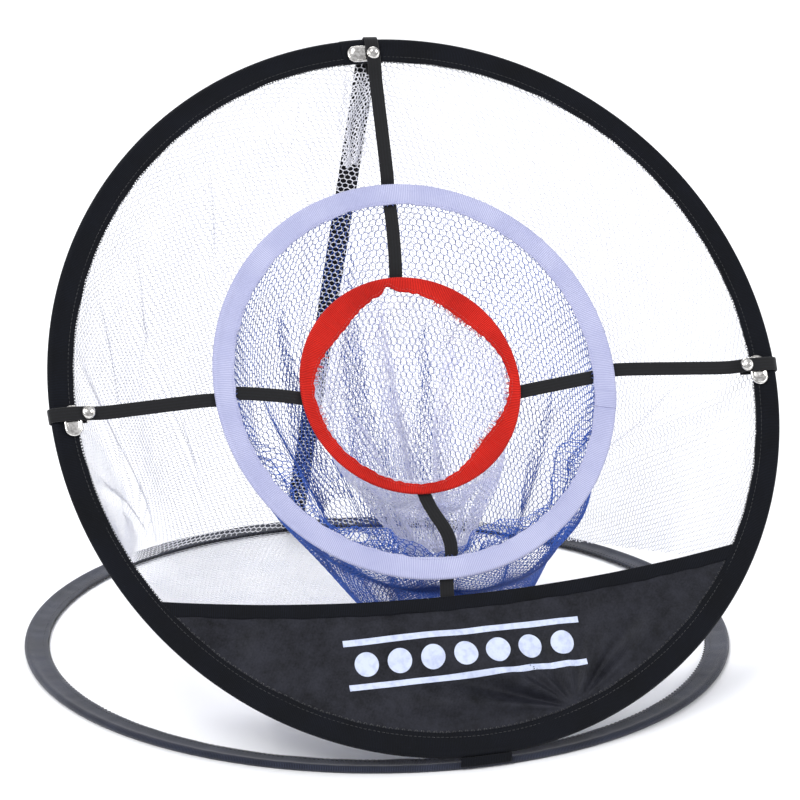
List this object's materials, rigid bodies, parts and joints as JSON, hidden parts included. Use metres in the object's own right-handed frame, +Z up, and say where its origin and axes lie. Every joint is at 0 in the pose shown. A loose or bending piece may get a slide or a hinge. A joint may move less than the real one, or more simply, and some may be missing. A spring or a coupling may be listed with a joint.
{
  "type": "golf chipping net",
  "caption": "Pop-up golf chipping net: a folding upright hoop on a base hoop, two target rings on elastic straps, a net bag behind each, and a cloth front panel.",
  "frame": {"origin": "centre of the base hoop, on the ground", "axes": "+X to the right of someone facing the targets, +Y away from them, +Z up"},
  "size_m": [0.503, 0.5018, 0.4279],
  "materials": {
    "spring_wire": "blued spring steel",
    "ferrule": "crimped",
    "black_binding": "ribbed polyester binding",
    "lilac_binding": "ribbed polyester binding",
    "red_binding": "ribbed polyester binding",
    "white_net": "knitted hexagonal mesh",
    "blue_net": "knitted hexagonal mesh",
    "lilac_net": "knitted hexagonal mesh",
    "panel_cloth": "plain woven polyester",
    "black_webbing": "woven elastic",
    "print_white": "screen print",
    "nickel": "nickel plated"
  },
  "bodies": {
    "base": {"base_wire": "spring_wire", "base_ferrule": "ferrule", "base_binding": "black_binding", "hinge_tape": "black_binding"},
    "upright": {"hoop_wire": "spring_wire", "hoop_ferrule": "ferrule", "hoop_binding": "black_binding", "outer_net": "white_net", "front_panel": "panel_cloth", "panel_tape": "black_webbing", "panel_print": "print_white", "strap_top": "black_webbing", "strap_left": "black_webbing", "strap_right": "black_webbing", "strap_bottom": "black_webbing", "back_strap": "black_webbing", "snap_caps": "nickel", "snap_studs": "nickel", "keepers": "nickel"},
    "middle_ring": {"middle_wire": "spring_wire", "middle_ferrule": "ferrule", "middle_binding": "lilac_binding", "middle_net": "blue_net", "inner_strap_top": "black_webbing", "inner_strap_left": "black_webbing", "inner_strap_right": "black_webbing", "inner_strap_bottom": "black_webbing"},
    "inner_ring": {"inner_wire": "spring_wire", "inner_ferrule": "ferrule", "inner_binding": "red_binding", "inner_net": "lilac_net"}
  },
  "joints": [
    {"name": "frame_fold", "type": "hinge", "parent": "base", "child": "upright", "pos_m": [0, -0.2451, 0.0055], "axis": [-1, 0, 0], "range_deg": [0, 56], "stiffness_Nm_per_rad": 1.2, "springref_deg": -34.38, "deforming": ["outer_net", "back_strap", "middle_net", "inner_net", "hinge_tape"]},
    {"name": "middle_ring_push", "type": "slide", "parent": "upright", "child": "middle_ring", "axis": [0, 0.8315, -0.5556], "range_m": [-0.02, 0.03], "stiffness_N_per_m": 80, "springref_m": -0.0055, "deforming": ["strap_top", "strap_left", "strap_right", "strap_bottom"]},
    {"name": "inner_ring_push", "type": "slide", "parent": "middle_ring", "child": "inner_ring", "axis": [0, 0.8315, -0.5556], "range_m": [-0.02, 0.03], "stiffness_N_per_m": 80, "springref_m": -0.0016, "deforming": ["inner_strap_top", "inner_strap_left", "inner_strap_right", "inner_strap_bottom"]}
  ]
}
